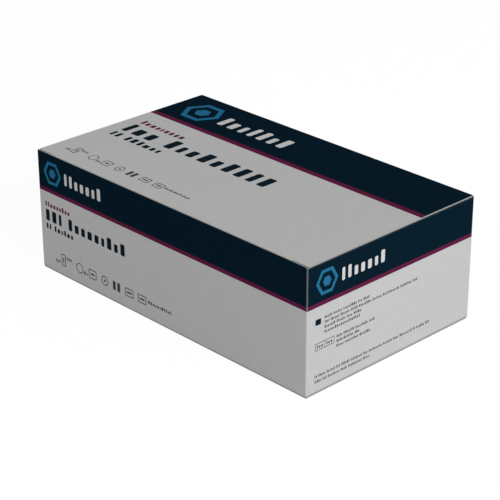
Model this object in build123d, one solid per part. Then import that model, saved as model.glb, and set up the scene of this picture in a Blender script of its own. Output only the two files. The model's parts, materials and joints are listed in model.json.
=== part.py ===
from build123d import *
import os
from math import asin, cos, degrees, radians, sin, tan

# A folding carton of single-use test cassettes, folded and glued from one sheet of solid board,
# with a hinged tuck-in lid along its long back edge. Inside stand sealed foil pouches and a leaflet.
# Sizes are in millimetres. The origin is the middle of the base, X runs along the carton,
# the printed long front faces -Y and Z is up.

# Outside of the closed carton
carton_length = 180.0
carton_depth = 106.4
carton_height = 61.8

# Board and its folds
board = 0.5
fold_inside_radius = 0.2
fold_leg_beyond_bend = 0.3
raw_edge_set_back = 0.25

# Base, two full panels glued over two end flaps
inner_panel_gap = 1.0
end_flap_length = 50.0
end_flap_taper = 8.0
end_flap_corner = 4.0

# Glue flap inside the left end wall
glue_flap_width = 14.0
glue_flap_taper = 4.0

# Dust flaps folded in under the lid
dust_flap_length = 50.0
dust_flap_shoulder_x = 20.0
dust_flap_shoulder = 7.0
dust_flap_back_taper = 12.0
dust_flap_corner = 5.0
flap_side_clearance = 0.5
tuck_to_dust_flap = 0.4

# Lid with its tuck flap
lid_to_front_wall = 0.3
lid_side_set_back = 0.35
lid_crease_rounding = 0.3
tuck_depth = 20.0
tuck_extra_lean = 1.0
tuck_end_set_back = 1.5
tuck_corner = 12.0
slit_length = 8.0
slit_width = 0.6

# Contents
headroom = 5.8
pouch_thickness = 8.3
pouch_smallest_gap = 0.3
pouch_to_tuck = 0.8
pouch_to_back_wall = 0.7
pouch_film = 0.4
pouch_seal_width = 7.0
pouch_corner = 2.0
cassette_length = 70.0
cassette_width = 20.0
cassette_corner = 3.0
leaflet_thickness = 2.0
leaflet_below_pouches = 3.0
leaflet_side_set_back = 1.5

# Levels and faces worked out from these
fold_radius = board + fold_inside_radius
fold_leg = fold_radius + fold_leg_beyond_bend
half_length = carton_length / 2
half_depth = carton_depth / 2
straight_x = half_length - fold_radius
straight_y = half_depth - fold_radius
inner_panel_z = board
end_flap_z = 2 * board
end_flap_top = 3 * board
lid_underside = carton_height - board
dust_flap_z = lid_underside - board
glue_fold_x = -half_length + board

# The tuck flap leans inwards, so that its tip swings clear of the front wall about the lid's crease.
# Half way down it then passes the dust flaps further in than its fold does, by the swing.
tuck_face_y = -half_depth + board + lid_to_front_wall
lid_reach = half_depth - tuck_face_y
tuck_lean = degrees(asin(tuck_depth / (2 * lid_reach))) + tuck_extra_lean
tuck_tip_y = tuck_face_y + tuck_depth * sin(radians(tuck_lean)) + board
tuck_swing = lid_reach * sin(radians(tuck_lean)) ** 2 / 2
dust_flap_front_y = tuck_face_y + board + tuck_swing + tuck_to_dust_flap

# Pouches and leaflet fill the carton from end to end with equal gaps
inside_length = carton_length - 3 * board
pouch_count = int((inside_length - leaflet_thickness) / (pouch_thickness + pouch_smallest_gap))
contents_length = pouch_count * pouch_thickness + leaflet_thickness
contents_gap = (inside_length - contents_length) / (pouch_count + 2)
pouch_front_y = tuck_tip_y + pouch_to_tuck
pouch_back_y = half_depth - board - pouch_to_back_wall
pouch_top = lid_underside - headroom


def block(x_span, y_span, z_span):
    """A box between two values along each axis."""
    (x0, x1), (y0, y1), (z0, z1) = x_span, y_span, z_span
    middle = ((x0 + x1) / 2, (y0 + y1) / 2, (z0 + z1) / 2)
    return Pos(*middle) * Box(abs(x1 - x0), abs(y1 - y0), abs(z1 - z0))


def board_section(face_points):
    """Section of a folded board: its outer face follows the points, and the board lies to their left."""
    face = [Vector(*point) for point in face_points]
    runs = [(end - start).normalized() for start, end in zip(face, face[1:])]
    lefts = [Vector(-run.Y, run.X) for run in runs]
    back = [face[0] + lefts[0] * board]
    for point, before, after in zip(face[1:], lefts, lefts[1:]):
        back.append(point + (before + after) * (board / (1 + before.dot(after))))
    back.append(face[-1] + lefts[-1] * board)
    outer = FilletPolyline(*face, radius=fold_radius)
    inner = FilletPolyline(*back, radius=fold_inside_radius)
    return make_face([outer, inner, Line(face[0], back[0]), Line(face[-1], back[-1])])


def upright_fold(x, y, start_angle, z_span):
    """A quarter turn of board about a vertical line, between two walls."""
    centre = (x, y)
    outer = CenterArc(centre, fold_radius, start_angle, 90)
    inner = CenterArc(centre, fold_inside_radius, start_angle, 90)
    section = make_face([outer, inner, Line(outer @ 0, inner @ 0), Line(outer @ 1, inner @ 1)])
    return Pos(0, 0, z_span[0]) * extrude(section, amount=z_span[1] - z_span[0])


def front_wall_and_inner_base():
    """The front wall, up to its raw top edge, and the inner base panel folded from it."""
    section = board_section([
        (-half_depth, carton_height),
        (-half_depth, inner_panel_z),
        (-half_depth + fold_leg, inner_panel_z),
    ])
    wall = extrude(Plane.YZ * section, amount=straight_x, both=True)
    panel_x = half_length - raw_edge_set_back
    panel_y = (-half_depth + fold_leg, half_depth - board - inner_panel_gap)
    return wall + block((-panel_x, panel_x), panel_y, (inner_panel_z, inner_panel_z + board))


def back_wall_and_outer_base():
    """The back wall, up to the lid's crease, and the outer base panel folded from it."""
    section = board_section([
        (half_depth - fold_leg, 0),
        (half_depth, 0),
        (half_depth, lid_underside),
    ])
    wall_start = glue_fold_x + fold_radius
    wall = Pos(wall_start, 0, 0) * extrude(Plane.YZ * section, amount=straight_x - wall_start)
    panel_x = half_length - raw_edge_set_back
    panel_y = (-half_depth + raw_edge_set_back, half_depth - fold_leg)
    return wall + block((-panel_x, panel_x), panel_y, (0, board))


def end_flap():
    """The right base flap, with tapered sides."""
    tip_x = half_length - end_flap_length
    side_y = half_depth - board - flap_side_clearance
    outline = FilletPolyline(
        (straight_x, -side_y),
        (straight_x, side_y),
        (tip_x, side_y - end_flap_taper),
        (tip_x, -side_y + end_flap_taper),
        radius=[0, 0, end_flap_corner, end_flap_corner],
        close=True,
    )
    return Pos(0, 0, end_flap_z) * extrude(make_face(outline), amount=board)


def dust_flap():
    """The right dust flap: its front side steps back at a shoulder, its back side tapers."""
    tip_x = half_length - dust_flap_length
    shoulder_x = half_length - dust_flap_shoulder_x
    back_y = half_depth - board - flap_side_clearance
    outline = FilletPolyline(
        (straight_x, dust_flap_front_y),
        (straight_x, back_y),
        (tip_x, back_y - dust_flap_back_taper),
        (tip_x, dust_flap_front_y + dust_flap_shoulder),
        (shoulder_x - dust_flap_shoulder, dust_flap_front_y + dust_flap_shoulder),
        (shoulder_x, dust_flap_front_y),
        radius=[0, 0, dust_flap_corner, dust_flap_corner, 0, 0],
        close=True,
    )
    return Pos(0, 0, dust_flap_z) * extrude(make_face(outline), amount=board)


def end_wall():
    """The right end wall with the folds that lead to its dust flap and base flap."""
    section = board_section([
        (half_length - fold_leg, end_flap_z),
        (half_length, end_flap_z),
        (half_length, lid_underside),
        (half_length - fold_leg, lid_underside),
    ])
    return extrude(Plane.XZ * section, amount=straight_y, both=True) + end_flap() + dust_flap()


def glue_flap():
    """The flap folded from the back wall and glued inside the left end wall."""
    bottom, top = end_flap_top, dust_flap_z
    root_y = straight_y
    tip_y = root_y - glue_flap_width
    outline = Polyline(
        (root_y, bottom),
        (root_y, top),
        (tip_y, top - glue_flap_taper),
        (tip_y, bottom + glue_flap_taper),
        close=True,
    )
    return Pos(glue_fold_x, 0, 0) * extrude(Plane.YZ * make_face(outline), amount=board)


def carton():
    """Walls, base and dust flaps: all of the folded sheet except the lid."""
    right_end = end_wall()
    upright = (end_flap_z, lid_underside)
    parts = [
        front_wall_and_inner_base(),
        back_wall_and_outer_base(),
        right_end,
        mirror(right_end, about=Plane.YZ),
        upright_fold(-straight_x, -straight_y, 180, upright),
        upright_fold(straight_x, -straight_y, 270, upright),
        upright_fold(straight_x, straight_y, 0, upright),
        upright_fold(glue_fold_x + fold_radius, straight_y, 90, upright),
        glue_flap(),
    ]
    return parts[0].fuse(*parts[1:])


def tuck_flap():
    """The flap that tucks in behind the front wall, with an ear past the fold at each end."""
    lean = radians(tuck_lean)
    face = Plane(origin=(0, tuck_face_y, carton_height), x_dir=(1, 0, 0), z_dir=(0, -cos(lean), -sin(lean)))
    half_width = half_length - board - tuck_end_set_back
    ear_top = board + slit_width
    outline = FilletPolyline(
        (-half_width, -ear_top),
        (half_width, -ear_top),
        (half_width, -tuck_depth),
        (-half_width, -tuck_depth),
        radius=[0, 0, tuck_corner, tuck_corner],
        close=True,
    )
    return extrude(face * make_face(outline), amount=-board)


def lid():
    """The top panel, hinged at the back wall's top edge, with its folded tuck flap."""
    panel_x = half_length - lid_side_set_back
    fold_x = half_length - board - tuck_end_set_back - slit_length
    panel = block((-panel_x, panel_x), (tuck_face_y + fold_leg, half_depth), (lid_underside, carton_height))
    crease = panel.edges().filter_by(Axis.X).group_by(Axis.Z)[-1].sort_by(Axis.Y)[-1]
    panel = fillet(crease, lid_crease_rounding)
    lean = radians(tuck_lean)
    leg_end = (tuck_face_y + 2 * fold_leg * sin(lean), carton_height - 2 * fold_leg * cos(lean))
    section = board_section([(tuck_face_y + 2 * fold_leg, carton_height), (tuck_face_y, carton_height), leg_end])
    fold = extrude(Plane.YZ * section, amount=fold_x, both=True)
    front_y = (tuck_face_y, tuck_face_y + 2 * fold_leg)
    right_lip = block((fold_x, panel_x), front_y, (lid_underside, carton_height))
    left_lip = block((-panel_x, -fold_x), front_y, (lid_underside, carton_height))
    return panel.fuse(fold, right_lip, left_lip, tuck_flap())


def base_level(x_low, x_high):
    """What a piece between these two places stands on: the base panel, or an end flap on it."""
    over_flap = max(abs(x_low), abs(x_high)) > half_length - end_flap_length
    return end_flap_top if over_flap else end_flap_z


def pouch_half(middle_y, middle_z, height):
    """One bulged side of a pouch, from its seal's inner line up to the cassette under the film."""
    width = pouch_back_y - pouch_front_y
    seal_line = RectangleRounded(width - 2 * pouch_seal_width, height - 2 * pouch_seal_width, cassette_corner)
    crest = RectangleRounded(cassette_length, cassette_width, cassette_corner)
    lower = Plane.YZ * seal_line
    upper = Plane.YZ.offset(pouch_thickness / 2) * crest
    return Pos(0, middle_y, middle_z) * loft([lower.face(), upper.face()])


def pouch(x, base_z):
    """A sealed foil pouch on edge across the carton: a flat sealed border and a bulge on each side."""
    height = pouch_top - base_z
    middle_y = (pouch_front_y + pouch_back_y) / 2
    middle_z = base_z + height / 2
    outline = RectangleRounded(pouch_back_y - pouch_front_y, height, pouch_corner)
    border = extrude(Plane.YZ * outline, amount=pouch_film / 2, both=True)
    border = Pos(0, middle_y, middle_z) * border
    right_side = pouch_half(middle_y, middle_z, height)
    left_side = mirror(right_side, about=Plane.YZ)
    return Pos(x, 0, 0) * border.fuse(right_side, left_side)


def leaflet(x, base_z):
    """The folded leaflet, standing on edge with its fold upwards."""
    radius = leaflet_thickness / 2
    top = pouch_top - leaflet_below_pouches
    shoulder = top - radius
    sides = Polyline((-radius, shoulder), (-radius, base_z), (radius, base_z), (radius, shoulder))
    section = make_face([sides, ThreePointArc((radius, shoulder), (0, top), (-radius, shoulder))])
    width = pouch_back_y - pouch_front_y - 2 * leaflet_side_set_back
    middle_y = (pouch_front_y + pouch_back_y) / 2
    return Pos(x, middle_y, 0) * extrude(Plane.XZ * section, amount=width / 2, both=True)


def contents():
    """Every pouch and the leaflet by node name, placed from the left end wall to the right."""
    pieces = {}
    before_leaflet = pouch_count // 2
    x = -half_length + 2 * board + contents_gap
    for number in range(1, pouch_count + 1):
        middle = x + pouch_thickness / 2
        pieces[f"pouch_{number:02d}"] = pouch(middle, base_level(x, x + pouch_thickness))
        x += pouch_thickness + contents_gap
        if number == before_leaflet:
            middle = x + leaflet_thickness / 2
            pieces["leaflet"] = leaflet(middle, base_level(x, x + leaflet_thickness))
            x += leaflet_thickness + contents_gap
    return pieces


os.makedirs("parts", exist_ok=True)
nodes = {"carton": carton(), "lid": lid()}
nodes.update(contents())
for name, piece in nodes.items():
    export_step(piece, f"parts/{name}.step")
    print(name, round(piece.volume / 1000, 3), "cm3")
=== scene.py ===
# %% [markdown]
# # A folding carton of test cassettes
#
# A folding carton is one sheet of coated board. It is printed flat, cut, creased, folded and glued.
# This lesson dresses its CAD model the same way: each panel is drawn flat with its print,
# and then bent along its creases. Inside stand twenty foil pouches and a folded leaflet.
# The CAD frame comes first, because every piece takes its size and place from it.

# %% Load the frame
import json
import math
import random

import bmesh
import bpy
from mathutils import Matrix, Vector
from mathutils.geometry import delaunay_2d_cdt
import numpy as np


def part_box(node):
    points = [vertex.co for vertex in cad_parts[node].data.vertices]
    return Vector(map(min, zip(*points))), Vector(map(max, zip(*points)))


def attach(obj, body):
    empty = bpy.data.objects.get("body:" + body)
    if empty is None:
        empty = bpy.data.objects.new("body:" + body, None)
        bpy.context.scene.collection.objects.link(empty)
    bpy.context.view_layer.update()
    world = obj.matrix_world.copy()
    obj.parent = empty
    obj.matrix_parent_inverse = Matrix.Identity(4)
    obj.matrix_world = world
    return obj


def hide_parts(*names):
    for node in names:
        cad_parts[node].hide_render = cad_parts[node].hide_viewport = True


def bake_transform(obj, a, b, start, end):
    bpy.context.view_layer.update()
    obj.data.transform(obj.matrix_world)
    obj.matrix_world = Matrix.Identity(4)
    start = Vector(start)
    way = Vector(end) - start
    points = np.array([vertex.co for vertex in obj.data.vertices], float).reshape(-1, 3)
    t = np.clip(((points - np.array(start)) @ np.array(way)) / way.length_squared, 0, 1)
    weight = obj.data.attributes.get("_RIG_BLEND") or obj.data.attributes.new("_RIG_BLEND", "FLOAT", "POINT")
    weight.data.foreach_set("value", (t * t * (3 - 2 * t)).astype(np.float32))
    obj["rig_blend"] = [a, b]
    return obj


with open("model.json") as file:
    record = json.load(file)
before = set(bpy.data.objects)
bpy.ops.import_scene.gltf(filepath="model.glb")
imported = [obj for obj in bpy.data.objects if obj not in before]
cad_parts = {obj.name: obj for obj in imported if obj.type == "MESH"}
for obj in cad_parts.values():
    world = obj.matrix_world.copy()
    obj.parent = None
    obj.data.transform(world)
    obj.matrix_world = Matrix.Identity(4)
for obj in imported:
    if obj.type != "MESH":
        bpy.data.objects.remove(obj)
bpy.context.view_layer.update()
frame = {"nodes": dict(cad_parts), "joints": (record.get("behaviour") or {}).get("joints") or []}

MM = 0.001

# %% [markdown]
# ## Sizes from the frame
#
# The panels are drawn in millimetres and turned to metres only where they are placed.
# The carton's box gives its outside, the lid's box its own reach, and the hinge its crease.
# The board's thickness and the radius of its folds are set here, and each flap's size where it is drawn.

# %% Sizes from the frame
BOARD = 0.5
FOLD = 0.6

carton_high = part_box("carton")[1]
lid_low, lid_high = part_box("lid")
HALF_LENGTH = carton_high.x / MM
HALF_DEPTH = carton_high.y / MM
HEIGHT = carton_high.z / MM
HINGE_Z = frame["joints"][0]["pos_m"][2] / MM
STRAIGHT_X = HALF_LENGTH - FOLD
STRAIGHT_Y = HALF_DEPTH - FOLD
print("carton", round(2 * HALF_LENGTH, 1), round(2 * HALF_DEPTH, 1), round(HEIGHT, 1), "mm")

# %% [markdown]
# ## Colour and nodes
#
# Colours are written as sRGB hex values, as a printer's swatch would be, and one function turns them
# to the linear values that the shader expects. Another function adds a node with its settings and links,
# so that each material below reads as a short list of what it is made of.

# %% Colour


def linear(code, factor=1.0):
    """An sRGB hex colour as linear red, green, blue and alpha, made lighter or darker by a factor."""
    channels = [int(code[i:i + 2], 16) / 255 for i in (1, 3, 5)]
    values = [c / 12.92 if c <= 0.04045 else ((c + 0.055) / 1.055) ** 2.4 for c in channels]
    return [min(1.0, value * factor) for value in values] + [1.0]


print("linear mid grey", round(linear("#808080")[0], 3))

# %% Nodes
MATH, NOISE, MIX = "ShaderNodeMath", "ShaderNodeTexNoise", "ShaderNodeMix"
MAP, BUMP = "ShaderNodeMapRange", "ShaderNodeBump"


def fill_inputs(tree, node, inputs):
    """Fills a node's inputs with values, sockets or other nodes' first outputs."""
    for name, value in inputs.items():
        value = value.outputs[0] if isinstance(value, bpy.types.Node) else value
        if isinstance(value, bpy.types.NodeSocket):
            tree.links.new(value, node.inputs[name])
        else:
            node.inputs[name].default_value = value


def add_node(tree, kind, inputs={}, **settings):
    """Adds a node with its settings and its inputs."""
    node = tree.nodes.new(kind)
    for name, value in settings.items():
        setattr(node, name, value)
    fill_inputs(tree, node, inputs)
    return node


def add_steps(tree, known, steps):
    """Adds the nodes of a table, with a row for each: its name, its mode, and inputs by name or number."""
    for name, mode, *sources in steps:
        inputs = {i: known.get(source, source) for i, source in enumerate(sources)}
        if mode in ("LINEAR", "SMOOTHSTEP"):
            known[name] = add_node(tree, MAP, inputs, interpolation_type=mode)
        else:
            known[name] = add_node(tree, MATH, inputs, operation=mode)


def empty_tree(owner):
    """The node tree of a material or a world, with nothing in it."""
    owner.use_nodes = True
    owner.node_tree.nodes.clear()
    return owner.node_tree


def new_material(name):
    """A material with its node tree, its shader and a socket that gives the place on the object."""
    material = bpy.data.materials.new(name)
    tree = empty_tree(material)
    shader = add_node(tree, "ShaderNodeBsdfPrincipled")
    add_node(tree, "ShaderNodeOutputMaterial", {"Surface": shader})
    return material, tree, shader, add_node(tree, "ShaderNodeTexCoord").outputs["Object"]


def per_metre(size_mm):
    """The texture scale that gives a pattern of about this size on coordinates in metres."""
    return 1.0 / (size_mm * MM)


print("a 2 mm pattern has scale", per_metre(2.0))

# %% [markdown]
# ## Coated board and its inks
#
# Folding boxboard is bleached pulp with a smooth clay coat outside, offset inks on it and a thin
# matt varnish over all. To the eye it is even and nearly without gloss, with a very faint mottle
# and the slow waves of a sheet that was damp once. Where it is folded, the coat and the ink crack
# along the crease and the pale pulp shows, so each ink fades to pale by an attribute called
# wear_and_highlight, which the mesh carries along its folds. The same pale line is also painted highlight
# along the folds and beside the front wall's cut top edge.

# %% Printed board
VARNISH_ROUGHNESS = 0.6
MOTTLE_MM = 3.0
CRACK_MM = 0.3
COAT_GRAIN_MM = 0.35
SHEET_WAVE_MM = 45.0
MOTTLE = (0.955, 1.05)
CRACK_NOISE = (0.3, 0.7)
CRACK_SHARES = (0.35, 0.5)
PATTERNS = ((MOTTLE_MM, 3.0), (CRACK_MM, 2.0), (COAT_GRAIN_MM, 2.0), (SHEET_WAVE_MM, 1.0))
COAT_GRAIN_BUMP = {"Strength": 0.12, "Distance": 0.02 * MM}
SHEET_WAVE_BUMP = {"Strength": 0.35, "Distance": 1.2 * MM}
WHITE_GLOSS = 0.04


def printed_board(name, ink, crack_and_highlight, gloss=0.0):
    """Offset ink on coated board: a faint mottle, a matt varnish, and pale cracks where it folds, which also
    paint a highlight along the folds.
    """
    material, tree, shader, place = new_material(name)
    mottle, cracks, grain, wave = [
        add_node(tree, NOISE, {"Vector": place, "Scale": per_metre(size_mm), "Detail": detail})
        for size_mm, detail in PATTERNS]
    shades = {0: mottle, 6: linear(ink, MOTTLE[0]), 7: linear(ink, MOTTLE[1])}
    body = add_node(tree, MIX, shades, data_type="RGBA").outputs[2]
    uneven = add_node(tree, MAP, dict(enumerate((cracks, *CRACK_NOISE, *CRACK_SHARES))))
    # Pale cracks along the folds, which are also painted highlight: this attribute fades each ink to its pale
    # colour.
    wear_and_highlight = add_node(tree, "ShaderNodeAttribute", attribute_name="wear_and_highlight").outputs["Fac"]
    shown = add_node(tree, MATH, {0: wear_and_highlight, 1: uneven}, operation="MULTIPLY")
    colour = add_node(tree, MIX, {0: shown, 6: body, 7: linear(crack_and_highlight)}, data_type="RGBA")
    fine = add_node(tree, BUMP, {"Height": grain, **COAT_GRAIN_BUMP})
    broad = add_node(tree, BUMP, {"Height": wave, **SHEET_WAVE_BUMP, "Normal": fine})
    fill_inputs(tree, shader, {"Base Color": colour.outputs[2], "Roughness": VARNISH_ROUGHNESS,
                               "Specular IOR Level": gloss, "Normal": broad})
    return material


# The second colour of each finish is the pale colour of its cracks, which also serves as painted highlight
# along the folds.
coated = printed_board("clay coated board, matt varnished", "#D8D8D8", "#E6E6E6", WHITE_GLOSS)
inks = [
    printed_board("navy offset ink, matt varnished", "#0D2331", "#B9BEC1"),
    printed_board("magenta offset ink, matt varnished", "#6C2449", "#CDBAC4"),
    printed_board("mid blue offset ink, matt varnished", "#2C7BA6", "#C0CCD2"),
    printed_board("white board left clear of ink", "#E4E4E4", "#E6E6E6", WHITE_GLOSS),
    printed_board("dark blue text ink", "#152733", "#B9BEC1"),
    printed_board("grey text ink", "#4A5056", "#B9BEC1"),
]
print("printed finishes", 1 + len(inks))

# %% [markdown]
# ## Bare pulp and cut edges
#
# The inside of the board has no coat: it is greyer, matte, and short fibres lie in it along the
# direction in which the board was made. A die cuts the edges, which show the pulp; they are darker than it,
# partly from the board's grey core and partly from painted shade of the narrow edge.

# %% Bare pulp
PULP_ROUGHNESS = 0.85
FIBRE_STRETCH = 0.35
FIBRE_SHADES = (0.88, 1.08)
FIBRE_NOISE = {"Detail": 6.0, "Roughness": 0.65}
FIBRE_HEIGHT = 0.05 * MM


def bare_pulp(name, colour, fibre_mm, strength):
    """Uncoated board, paper or a cut edge: matte, with short fibres lying in it."""
    material, tree, shader, place = new_material(name)
    along = add_node(tree, "ShaderNodeMapping", {"Vector": place, "Scale": (1.0, FIBRE_STRETCH, 1.0)})
    fibre = add_node(tree, NOISE, {"Vector": along, "Scale": per_metre(fibre_mm), **FIBRE_NOISE})
    shades = {0: fibre, 6: linear(colour, FIBRE_SHADES[0]), 7: linear(colour, FIBRE_SHADES[1])}
    mixed = add_node(tree, MIX, shades, data_type="RGBA")
    bump = add_node(tree, BUMP, {"Height": fibre, "Strength": strength, "Distance": FIBRE_HEIGHT})
    fill_inputs(tree, shader, {"Base Color": mixed.outputs[2], "Roughness": PULP_ROUGHNESS, "Normal": bump})
    return material


COATED, NAVY, MAGENTA, BLUE, WHITE, DARK, GREY, PULP, CUT_EDGE = range(9)
board_materials = [coated] + inks + [
    bare_pulp("bleached pulp, uncoated inside", "#CBC8C1", fibre_mm=1.2, strength=0.25),
    # The cut edge's grey is partly the board's core and partly painted shade.
    bare_pulp("die cut board edge with painted shade", "#AEADAA", fibre_mm=0.3, strength=0.5),
]
print("board materials", [material.name for material in board_materials[-2:]])

# %% [markdown]
# ## Folding a flat panel
#
# A crease turns a straight line into a short arc, and the sheet keeps its length along it. So one function
# takes the corners that a folded panel passes and gives the place of any length along it.
# A panel is then drawn flat, with u across and v down its face as a person would read it,
# and every point of it is placed by its v on that path and its u across.

# %% A path with rounded corners
BEND_STEPS = 6
HALF_BEND = FOLD * math.pi / 4


def bent_path(corners):
    """Gives place(length) along a path with rounded corners, its bends' (first, last) and its length."""
    points = [Vector(corner) for corner in corners]
    stretches, bends = [], []
    start, length = points[0], 0.0
    for before, corner, after in zip(points, points[1:], points[2:]):
        way_in = (corner - before).normalized()
        way_out = (after - corner).normalized()
        turn = math.atan2(way_in.x * way_out.y - way_in.y * way_out.x, way_in.dot(way_out))
        tangent = FOLD * math.tan(abs(turn) / 2)
        bend_start = corner - way_in * tangent
        run = (bend_start - start).length
        arc = FOLD * abs(turn)
        stretches.append((length, start, way_in, 0.0))
        stretches.append((length + run, bend_start, way_in, math.copysign(1.0, turn)))
        bends.append((length + run, length + run + arc))
        length += run + arc
        start = corner + way_out * tangent
    stretches.append((length, start, (points[-1] - points[-2]).normalized(), 0.0))

    def place(at):
        """The point at this length along the path."""
        first, origin, way, side = [stretch for stretch in stretches if stretch[0] <= max(at, 0.0)][-1]
        if side == 0.0:
            return origin + way * (at - first)
        angle = (at - first) / FOLD
        inward = Vector((-way.y, way.x)) * side
        return origin + way * (FOLD * math.sin(angle)) + inward * (FOLD * (1 - math.cos(angle)))

    return place, bends, length + (points[-1] - start).length


print("a 20 mm path round one corner is", round(bent_path([(0, 0), (10, 0), (10, 10)])[2], 3), "mm long")

# %% Wear and painted highlight beside a fold
WEAR_AND_HIGHLIGHT_REACH = 0.15
WEAR_AND_HIGHLIGHT_FALL = 1.3


def wear_and_highlight_near(distance, half=HALF_BEND):
    """How cracked the ink is, with its painted highlight, at a distance from the middle of a bend of this
    half length.
    """
    return max(0.0, 1.0 - distance / (half + WEAR_AND_HIGHLIGHT_REACH)) ** WEAR_AND_HIGHLIGHT_FALL


def bend_lines(bends):
    """Lengths at which a panel needs a row of points: through each bend and where its pale cracks and painted
    highlight end.
    """
    lines = []
    for first, last in bends:
        lines += [first + (last - first) * step / BEND_STEPS for step in range(BEND_STEPS + 1)]
        lines += [first - WEAR_AND_HIGHLIGHT_REACH, last + WEAR_AND_HIGHLIGHT_REACH]
    return lines


print("a bend needs", len(bend_lines([(0.0, 2 * HALF_BEND)])), "rows")

# %% [markdown]
# ## From a flat drawing to faces
#
# The print is drawn as real shapes. Blender's constrained triangulation takes the panel's outline,
# the print's outlines and a plain grid, and gives faces that each lie inside or outside every shape.
# The last shape that covers a face gives it its ink, as the last plate on a press would.
# So the colours have sharp edges at any distance, and the same mesh bends along the creases.

# %% Cut a flat drawing into faces
GRID = 12.0
FACES_WITHOUT_HOLES = 4
SAME_PLACE = 1e-5
PAST_EDGE = 1.0


def grid_between(low, high, step):
    """Even places between two limits, without the limits."""
    count = max(1, round((high - low) / step))
    return [low + (high - low) * i / count for i in range(1, count)]


def anticlockwise(ring):
    """The same ring with its corners in the order that the triangulation takes as a filled face."""
    turn = sum(a[0] * b[1] - a[1] * b[0] for a, b in zip(ring, ring[1:] + ring[:1]))
    return ring if turn > 0 else ring[::-1]


def flat_faces(outline, shapes, u_lines, v_lines):
    """Cuts a flat panel into faces and gives the points, the faces and the ink of each face."""
    points, edges, rings = [], [], []
    for ring in [anticlockwise(outline)] + [shape for shape, ink in shapes]:
        rings.append(list(range(len(points), len(points) + len(ring))))
        points += [Vector(point) for point in ring]
    all_u, all_v = zip(*outline)
    ends_u, ends_v = [(min(values) - PAST_EDGE, max(values) + PAST_EDGE) for values in (all_u, all_v)]
    lines = [[(u, v) for v in ends_v] for u in u_lines] + [[(u, v) for u in ends_u] for v in v_lines]
    for line in lines:
        edges.append((len(points), len(points) + 1))
        points += [Vector(point) for point in line]
    places, _, faces, _, _, sources = delaunay_2d_cdt(points, edges, rings, FACES_WITHOUT_HOLES, SAME_PLACE)
    plate = [COATED] + [ink for shape, ink in shapes]
    kept = [(face, plate[max(source)]) for face, source in zip(faces, sources) if 0 in source]
    return places, kept


square = [(0, 0), (9, 0), (9, 9), (0, 9)]
print("one crossed square gives", len(flat_faces(square, [], [4], [5])[1]), "faces")

# %% Place a flat drawing in the mesh


def add_panel(mesh, outline, shapes, u_lines, v_lines, place, folds, sides=()):
    """Adds a printed and folded panel to a mesh.

    Folds are the (first, last, strength) in v of its bends and other pale lines of cracks and painted
    highlight, and sides the (u, last v) of its upright folds.
    """
    wear_and_highlight = mesh.verts.layers.float["wear_and_highlight"]
    u_lines = list(u_lines) + [u - math.copysign(WEAR_AND_HIGHLIGHT_REACH, u) for u, last in sides]
    places, faces = flat_faces(outline, shapes, u_lines, v_lines)
    verts = []
    for u, v in places:
        vert = mesh.verts.new(place(u, v) * MM)
        wear_and_highlight_values = [0.0] + [wear_and_highlight_near(HALF_BEND + abs(u - side)) for side, last in sides if v < last]
        wear_and_highlight_values += [strength * wear_and_highlight_near(abs(v - (first + last) / 2), (last - first) / 2)
                 for first, last, strength in folds]
        vert[wear_and_highlight] = max(wear_and_highlight_values)
        verts.append(vert)
    for corners, ink in faces:
        mesh.faces.new([verts[i] for i in reversed(corners)]).material_index = ink
    print("panel with", len(shapes), "shapes and", len(faces), "faces")


def new_sheet_mesh():
    """An empty mesh that carries the attribute of pale cracks and painted highlight."""
    mesh = bmesh.new()
    mesh.verts.layers.float.new("wear_and_highlight")
    return mesh


print("wear reaches", WEAR_AND_HIGHLIGHT_REACH, "mm past a bend")

# %% Give the sheet its thickness
CUT_ANGLE = math.radians(40)
WELD = 0.002 * MM


def new_object(name, data):
    """An object at the origin with this data, linked to the scene."""
    thing = bpy.data.objects.new(name, data)
    bpy.context.scene.collection.objects.link(thing)
    return thing


def apply_modifiers(thing):
    """Turns what an object's modifiers give into its own mesh."""
    thing.data = bpy.data.meshes.new_from_object(thing.evaluated_get(bpy.context.evaluated_depsgraph_get()))
    thing.modifiers.clear()
    return thing.data


def sheet_object(name, mesh, body=None, node=None):
    """Turns a mesh of outer faces into a sheet of board: pulp on its inner side and a cut edge all round."""
    bmesh.ops.delete(mesh, geom=[vert for vert in mesh.verts if not vert.link_faces], context="VERTS")
    bmesh.ops.remove_doubles(mesh, verts=mesh.verts, dist=WELD)
    data = bpy.data.meshes.new(name)
    outer = len(mesh.faces)
    mesh.to_mesh(data)
    mesh.free()
    sheet = new_object(name, data)
    for material in board_materials:
        data.materials.append(material)
    solidify = sheet.modifiers.new("board thickness", "SOLIDIFY")
    solidify.thickness = BOARD * MM
    solidify.offset = -1.0
    solidify.use_even_offset = True
    solid = apply_modifiers(sheet)
    for number, face in enumerate(solid.polygons):
        face.use_smooth = number < 2 * outer
        if number >= outer:
            face.material_index = PULP if number < 2 * outer else CUT_EDGE
    solid.set_sharp_from_angle(angle=CUT_ANGLE)
    if node:
        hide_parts(node)
        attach(sheet, body)
    print(name, "has", len(solid.polygons), "faces")
    return sheet


print("board", BOARD, "mm thick")

# %% [markdown]
# ## Plain shapes for the print
#
# The print is a dark band with a thin stripe under it, lines of small upright cells, each with its own
# height, width and ink, and a row of plain outlined shapes.
# A shape that is drawn over another knocks a hole in it.

# %% Bars, blocks and regular figures
CORNER_STEPS = 3
EMBLEM_RINGS = ((1.0, BLUE), (0.74, NAVY), (0.38, BLUE))
EMBLEM_SIDES = 6


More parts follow.
